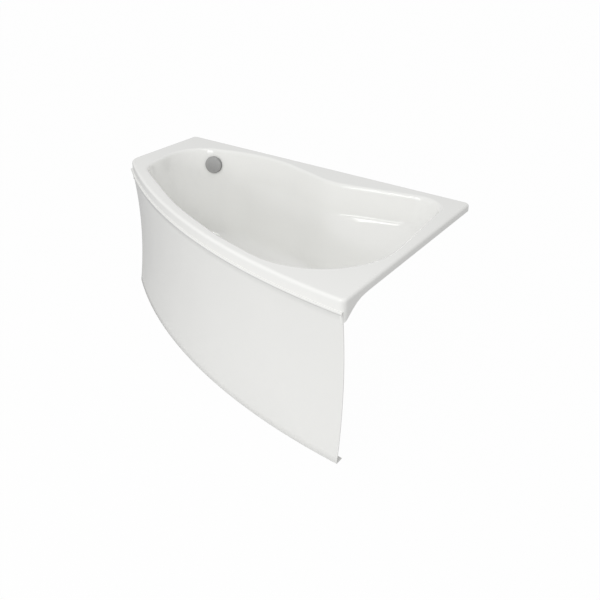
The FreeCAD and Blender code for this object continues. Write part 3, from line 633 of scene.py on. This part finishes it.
# %% Cutting the holes
UP = Vector((0, 0, 1))
FLAT_RADIUS, FLAT_REACH = 40 * MM, 40 * MM
OVERFLOW_RADIUS, WASTE_RADIUS = 27 * MM, 26 * MM
BEHIND_WALL, UNDER_FLOOR, PAST_FACE = 40 * MM, 20 * MM, 5 * MM
HOLE_EDGE = math.radians(38)
waste_place = Vector((WASTE.x, WASTE.y, FLOOR))
tools = [
    cutter("overflow_flat", SEAT, SEAT_AXIS, FLAT_RADIUS, 0, FLAT_REACH),
    cutter("overflow_hole", SEAT, SEAT_AXIS, OVERFLOW_RADIUS, -BEHIND_WALL, PAST_FACE),
    cutter("waste_hole", waste_place, UP, WASTE_RADIUS, -UNDER_FLOOR, PAST_FACE),
]
for tool in tools:
    cut(shell, tool)
shell.data.set_sharp_from_angle(angle=HOLE_EDGE)
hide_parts("tub_shell")
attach(shell, "bath")
print("shell triangles", sum(len(p.vertices) - 2 for p in shell.data.polygons))

# %% [markdown]
# ## The front panel
#
# The panel is a sheet whose upright profile is hollow, with a bead under the rim and a flange
# at each end. Because the bath's front is one circle, spinning that profile about the bow's
# centre gives the whole panel. Both ends are then cut off square to the walls.

# %% Sizes of the panel's profile
PANEL_TOP = RIM - SKIRT_DROP
PANEL_CROWN = PANEL_TOP - 15 * MM
PANEL_FOOT = 3 * MM
PANEL_HOLLOW = 21 * MM
PANEL_LEAN = 2 * MM
PANEL_PROUD = 5 * MM
PANEL_STEPS = 24
print("panel top at", round(PANEL_TOP, 4))

# %% [markdown]
# The four lists below are in millimetres. The flanges are distances behind the bow. The bead's
# lower turn is given as distances in front of the bow and above the crown, and its upper turn
# as distances in from the bead's face and down from the panel's top.

# %% Profile of the panel
FOOT_FLANGE = (32, 20, 6, 2.5)
BEAD_LOWER_TURN = ((1, 3.5), (4, 7), (5, 10))
BEAD_UPPER_TURN = ((0.4, 1.6), (1.8, 0.2), (4, 0))
TOP_FLANGE = (10, 30)


def hollow_at(z):
    """How far the panel's face lies in front of the bow at a height."""
    half = PANEL_CROWN / 2
    return -PANEL_HOLLOW * (1 - ((z - half) / half) ** 2) - PANEL_LEAN * z / PANEL_CROWN


def panel_profile():
    """The outer face from foot to top, as distance in front of the bow and height."""
    rise = (PANEL_CROWN - PANEL_FOOT) / PANEL_STEPS
    heights = [PANEL_FOOT + rise * step for step in range(PANEL_STEPS + 1)]
    points = [(-behind * MM, 0) for behind in FOOT_FLANGE] + [(hollow_at(z), z) for z in heights]
    points += [(out * MM, PANEL_CROWN + up * MM) for out, up in BEAD_LOWER_TURN]
    points += [(PANEL_PROUD - back * MM, PANEL_TOP - down * MM) for back, down in BEAD_UPPER_TURN]
    return points + [(-behind * MM, PANEL_TOP) for behind in TOP_FLANGE]


print("points of the panel's profile", len(panel_profile()))

# %% Spinning and trimming the panel
SPIN_FROM, SPIN_BY, SPIN_STEPS = 4, -44, 72
PANEL_END_GAP = 6 * MM


def panel_sheet():
    """Spin the profile about the bow's centre and trim both ends."""
    bm = bmesh.new()
    profile = [(CENTRE.x, CENTRE.y - FRONT_RADIUS - out, z) for out, z in panel_profile()]
    verts = [bm.verts.new(place) for place in profile]
    edges = [bm.edges.new(pair) for pair in zip(verts, verts[1:])]
    hub = Vector((CENTRE.x, CENTRE.y, 0))
    turn = Matrix.Rotation(math.radians(SPIN_FROM), 3, "Z")
    bmesh.ops.rotate(bm, cent=hub, matrix=turn, verts=bm.verts)
    bmesh.ops.spin(
        bm, geom=verts + edges, cent=hub, axis=(0, 0, 1), dvec=(0, 0, 0),
        angle=math.radians(SPIN_BY), steps=SPIN_STEPS, use_merge=False,
        use_normal_flip=False, use_duplicate=False,
    )
    for x, way in ((RIGHT - PANEL_END_GAP, 1), (LEFT + PANEL_END_GAP, -1)):
        bmesh.ops.bisect_plane(
            bm, geom=bm.verts[:] + bm.edges[:] + bm.faces[:], dist=1e-6, plane_co=(x, 0, 0),
            plane_no=(way, 0, 0), clear_outer=True,
        )
    bmesh.ops.recalc_face_normals(bm, faces=bm.faces)
    return bm


panel_bm = panel_sheet()
print("faces of the panel's sheet", len(panel_bm.faces))

# %% Building the panel
PANEL_SHEET = 3 * MM
PANEL_EDGE = math.radians(50)
facing = [(face.calc_center_median().xy - CENTRE).dot(face.normal.xy) for face in panel_bm.faces]
if sum(facing) < 0:
    bmesh.ops.reverse_faces(panel_bm, faces=panel_bm.faces)
panel = object_from(panel_bm, "bowed_panel")
modifier(panel, "SOLIDIFY", thickness=PANEL_SHEET, offset=-1, use_even_offset=True)
baked(panel)
panel.data.set_sharp_from_angle(angle=PANEL_EDGE)
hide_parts("front_panel")
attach(panel, "bath")
panel_box = [panel.bound_box[0], panel.bound_box[6]]
print("panel box", [[round(v, 4) for v in corner] for corner in panel_box])

# %% [markdown]
# ## Finishes
#
# Every finish is a node material on Object coordinates, so it stays with the piece at its
# real scale. The small class below lets shader arithmetic be written as plain expressions:
# each operator adds one Math node.

# %% Shader arithmetic


class Value:
    """A number that the shader works out at each point."""

    def __init__(self, finish, socket):
        self.finish, self.socket = finish, socket

    def math(self, operation, first, second):
        """A Math node on two numbers."""
        return self.finish.node("ShaderNodeMath", {"operation": operation}, {0: first, 1: second})

    def __add__(self, other):
        return self.math("ADD", self, other)

    def __radd__(self, other):
        return self.math("ADD", other, self)

    def __mul__(self, other):
        return self.math("MULTIPLY", self, other)

    def __rmul__(self, other):
        return self.math("MULTIPLY", other, self)


# %% A finish and its nodes


class Finish:
    """A node material with one Principled shader."""

    def __init__(self, name, **fixed):
        self.material = bpy.data.materials.new(name)
        self.material.use_nodes = True
        self.tree = self.material.node_tree
        self.shader = next(n for n in self.tree.nodes if n.type == "BSDF_PRINCIPLED")
        for socket, value in fixed.items():
            self.shader.inputs[socket.replace("_", " ")].default_value = value
        self.place = self.node("ShaderNodeTexCoord", output="Object")

    def node(self, kind, settings=None, inputs=None, output=0):
        """Any node: its type, its settings, and the values or links of its sockets."""
        made = self.tree.nodes.new(kind)
        for name, value in (settings or {}).items():
            if name == "stops":
                self.set_stops(made.color_ramp, value)
            else:
                setattr(made, name, value)
        for key, value in (inputs or {}).items():
            if isinstance(value, Value):
                self.tree.links.new(value.socket, made.inputs[key])
            else:
                made.inputs[key].default_value = value
        return Value(self, made.outputs[output])

    def set_stops(self, ramp, stops):
        """Give a colour ramp its stops."""
        while len(ramp.elements) > 1:
            ramp.elements.remove(ramp.elements[-1])
        ramp.elements[0].position, ramp.elements[0].color = stops[0][0], (*stops[0][1], 1)
        for position, colour in stops[1:]:
            ramp.elements.new(position).color = (*colour, 1)

    def noise(self, scale, detail, roughness=0.5, stretch=None):
        """Soft noise at a scale in cycles per metre, optionally stretched along an axis."""
        place = self.place
        if stretch:
            place = self.node("ShaderNodeMapping", None, {"Vector": place, "Scale": stretch})
        sockets = {"Vector": place, "Scale": scale, "Detail": detail, "Roughness": roughness}
        return self.node("ShaderNodeTexNoise", None, sockets)

    def cells(self, scale):
        """A random tone for each cell of a broken-up surface, in cells per metre."""
        sockets = {"Vector": self.place, "Scale": scale}
        colours = self.node("ShaderNodeTexVoronoi", None, sockets, "Color")
        return self.node("ShaderNodeSeparateColor", None, {"Color": colours}, "Red")

    def ramp(self, factor, stops):
        """A colour ramp."""
        return self.node("ShaderNodeValToRGB", {"stops": stops}, {"Fac": factor})

    def drive(self, **links):
        """Link worked-out values to the shader's sockets."""
        for socket, value in links.items():
            self.tree.links.new(value.socket, self.shader.inputs[socket.replace("_", " ")])

    def bump(self, height, depth):
        """A bump of a real depth in metres."""
        sockets = {"Height": height, "Strength": 1.0, "Distance": depth}
        self.drive(Normal=self.node("ShaderNodeBump", None, sockets, "Normal"))


# %% [markdown]
# White acrylic is glossy but never quite even: the sheet is drawn over a mould, so its gloss
# wavers a little and long soft ripples bend the reflections. A flat gloss would look like
# glass. The back of the shell is raw laminate, rough and slightly yellow.

# %% Acrylic and laminate
SHELL_WHITE = (0.925, 0.925, 0.905)
PANEL_WHITE = (0.905, 0.905, 0.885)


def acrylic(name, tint):
    """Gloss white sheet with a faint ripple."""
    finish = Finish(name, IOR=1.49, Coat_Weight=0.25, Coat_Roughness=0.04)
    drift = finish.noise(scale=2.2, detail=2)
    fine = finish.noise(scale=45, detail=2)
    low = tuple(c * 0.985 for c in tint)
    finish.drive(Base_Color=finish.ramp(drift, [(0.35, low), (0.65, tint)]))
    finish.drive(Roughness=0.06 + drift * 0.04 + fine * 0.02)
    finish.bump(finish.noise(scale=5, detail=1), depth=0.4 * MM)
    return finish.material


def laminate(name):
    """Chopped glass strands under resin."""
    finish = Finish(name, IOR=1.5)
    strands = finish.noise(scale=90, detail=4, roughness=0.7, stretch=(1, 1, 0.25))
    crossed = finish.noise(scale=90, detail=4, roughness=0.7, stretch=(0.25, 1, 1))
    mix = strands * 0.5 + crossed * 0.5
    colours = [(0.35, (0.50, 0.49, 0.44)), (0.65, (0.68, 0.67, 0.61))]
    finish.drive(Base_Color=finish.ramp(mix, colours), Roughness=0.45 + mix * 0.3)
    finish.bump(mix, depth=1.2 * MM)
    return finish.material


# %% Acrylic on the shell and the panel
shell_finishes = [acrylic("white_acrylic", SHELL_WHITE), laminate("laminate_back")]
panel_finishes = [acrylic("panel_acrylic_sheet", PANEL_WHITE)]
for piece, materials in ((shell, shell_finishes), (panel, panel_finishes)):
    piece.data.materials.clear()
    for material in materials:
        piece.data.materials.append(material)
    print(piece.name, "has", [material.name for material in materials])

# %% [markdown]
# The supports are plain: chipboard under the floor, a softwood strip under the deck, and
# zinc-plated steel, which has a faint crystalline spangle. The fittings are moulded plastic
# with a fine grain, and rubber seals. None needs a picture, because noise and cells of the
# right scale give grain, flakes and crystals.

# %% Board and timber


def chipboard(name):
    """Pressed flakes of wood."""
    finish = Finish(name, IOR=1.45)
    tone = finish.cells(scale=160)
    fine = finish.noise(scale=400, detail=3)
    mix = tone * 0.7 + fine * 0.3
    colours = [(0.1, (0.30, 0.19, 0.09)), (0.5, (0.52, 0.37, 0.20)), (0.9, (0.66, 0.50, 0.30))]
    finish.drive(Base_Color=finish.ramp(mix, colours), Roughness=0.65 + fine * 0.25)
    finish.bump(mix, depth=0.4 * MM)
    return finish.material


def softwood(name):
    """Sawn timber with its grain along the strip."""
    finish = Finish(name, IOR=1.45)
    grain = finish.noise(scale=30, detail=5, roughness=0.6, stretch=(0.2, 6, 14))
    colours = [(0.3, (0.42, 0.27, 0.13)), (0.55, (0.64, 0.46, 0.26)), (0.75, (0.72, 0.55, 0.34))]
    finish.drive(Base_Color=finish.ramp(grain, colours), Roughness=0.6 + grain * 0.25)
    finish.bump(grain, depth=0.5 * MM)
    return finish.material


# %% Metal, plastic and rubber


def metal(name, tint, roughness, scale):
    """Plated metal whose gloss varies over its crystals."""
    finish = Finish(name, Metallic=1.0)
    tone = finish.cells(scale)
    low = tuple(c * 0.86 for c in tint)
    finish.drive(Base_Color=finish.ramp(tone, [(0.0, low), (1.0, tint)]))
    finish.drive(Roughness=roughness + tone * 0.08)
    finish.bump(finish.noise(scale=scale * 4, detail=2), depth=0.05 * MM)
    return finish.material


def plastic(name, tint, roughness, scale=260.0):
    """Moulded plastic, or rubber, with a fine grain."""
    finish = Finish(name, IOR=1.46)
    grain = finish.noise(scale=scale, detail=3)
    drift = finish.noise(scale=9, detail=2)
    low = tuple(c * 0.93 for c in tint)
    finish.drive(Base_Color=finish.ramp(drift, [(0.3, low), (0.7, tint)]))
    finish.drive(Roughness=roughness + grain * 0.12)
    finish.bump(grain, depth=0.08 * MM)
    return finish.material


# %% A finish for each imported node
finishes = {
    "board": chipboard("chipboard_face"),
    "batten": softwood("sawn_softwood"),
    "zinc": metal("zinc_plate", (0.66, 0.67, 0.69), roughness=0.30, scale=220.0),
    "black_plastic": plastic("black_fitting", (0.035, 0.035, 0.038), roughness=0.42),
    "white_plastic": plastic("white_fitting", (0.78, 0.78, 0.76), roughness=0.38),
    "cover_metal": metal("satin_cover", (0.44, 0.44, 0.44), roughness=0.40, scale=700.0),
    "seal_rubber": plastic("seal_rubber", (0.03, 0.03, 0.03), roughness=0.62, scale=420.0),
}
dressed = [part for part in frame["record"]["subparts"] if part["material_slot"] in finishes]
for part in dressed:
    mesh = frame["nodes"][part["node"]].data
    mesh.materials.clear()
    mesh.materials.append(finishes[part["material_slot"]])
print("finishes on", len(dressed), "packed nodes")

# %% [markdown]
# ## Floor, light and camera
#
# A white room lights a white bath. An even world alone would leave it flat, so a high lamp in
# front draws the soft shading, and a low one, the width of a window, leaves the glints on the
# lip and on the armrest. The floor shows itself as near white to the camera and still takes
# the bath's shadow.

# %% Floor
GROUND_SIZE = 14
GROUND_GAP = 0.5 * MM
GROUND_TONE = 0.62
GROUND_GLOW = 0.98
ground_bm = bmesh.new()
bmesh.ops.create_grid(ground_bm, x_segments=1, y_segments=1, size=GROUND_SIZE)
bmesh.ops.translate(ground_bm, vec=(0, 0, -GROUND_GAP), verts=ground_bm.verts)
ground = object_from(ground_bm, "studio_floor")
ground_finish = Finish(
    "studio_floor_white", Base_Color=(GROUND_TONE, GROUND_TONE, GROUND_TONE, 1), Roughness=0.9
)
seen = ground_finish.node("ShaderNodeLightPath", output="Is Camera Ray")
glow = ground_finish.node("ShaderNodeEmission", None, {"Color": (1, 1, 1, 1), "Strength": 1.0})
matt = Value(ground_finish, ground_finish.shader.outputs[0])
shares = {0: seen * GROUND_GLOW, 1: matt, 2: glow}
mixed = ground_finish.node("ShaderNodeMixShader", None, shares)
exit_node = next(n for n in ground_finish.tree.nodes if n.type == "OUTPUT_MATERIAL")
ground_finish.tree.links.new(mixed.socket, exit_node.inputs["Surface"])
ground.data.materials.append(ground_finish.material)
print("floor lies", GROUND_GAP, "below the bath")

# %% World
WORLD_LEVEL = 0.69
world = bpy.data.worlds.new("studio")
bpy.context.scene.world = world
world.use_nodes = True
sky = world.node_tree
background = sky.nodes["Background"]
background.inputs["Color"].default_value = (1, 1, 1, 1)
rays = sky.nodes.new("ShaderNodeLightPath")
level = sky.nodes.new("ShaderNodeMix")
level.inputs["A"].default_value = WORLD_LEVEL
level.inputs["B"].default_value = 1.0
sky.links.new(rays.outputs["Is Camera Ray"], level.inputs["Factor"])
sky.links.new(level.outputs[0], background.inputs["Strength"])
print("world level", WORLD_LEVEL, "and 1 to the camera")

# %% Lamps


def lamp(name, place, target, size, power):
    """A soft lamp of a width and a height that faces a point."""
    data = bpy.data.lights.new(name, "AREA")
    data.shape = "RECTANGLE"
    data.size, data.size_y = size
    data.energy = power
    made = bpy.data.objects.new(name, data)
    made.visible_camera = False
    made.location = place
    made.rotation_euler = (Vector(place) - Vector(target)).to_track_quat("Z", "Y").to_euler()
    bpy.context.scene.collection.objects.link(made)
    print(name, "of", power, "watts at", place)


lamp("key_lamp", place=(0.5, -3.0, 3.3), target=(0, 0, 0.4), size=(1.7, 1.3), power=38)
lamp("window_lamp", place=(0.15, -3.1, 1.15), target=(0.15, 0, 0.5), size=(1.1, 0.7), power=11)

# %% [markdown]
# The camera stands to the right of the front, a little above the rim. Its place, angles and
# lens were worked out from the straight edges and corners of the rim, because a view set by
# eye would bend every size that is read from it. The frame is shifted, as the picture was
# cropped.

# %% Camera
PIXELS = 600
FOCAL_PIXELS = 727.9
CENTRE_PIXEL = (278.3, 207.1)
YAW, PITCH = math.radians(36.5), math.radians(23.2)
CAMERA_PLACE = (1.6205, -2.0103, 1.6658)
SENSOR = 36
camera_data = bpy.data.cameras.new("camera")
camera_data.sensor_width = SENSOR
camera_data.lens = FOCAL_PIXELS / PIXELS * SENSOR
camera_data.shift_x = (PIXELS / 2 - CENTRE_PIXEL[0]) / PIXELS
camera_data.shift_y = (CENTRE_PIXEL[1] - PIXELS / 2) / PIXELS
camera_data.clip_end = 60
camera = bpy.data.objects.new("camera", camera_data)
camera.location = CAMERA_PLACE
camera.rotation_euler = (math.pi / 2 - PITCH, 0, YAW)
bpy.context.scene.collection.objects.link(camera)
bpy.context.scene.camera = camera
bpy.context.scene.view_settings.view_transform = "Standard"
print("lens", round(camera_data.lens, 3), "mm at", CAMERA_PLACE)
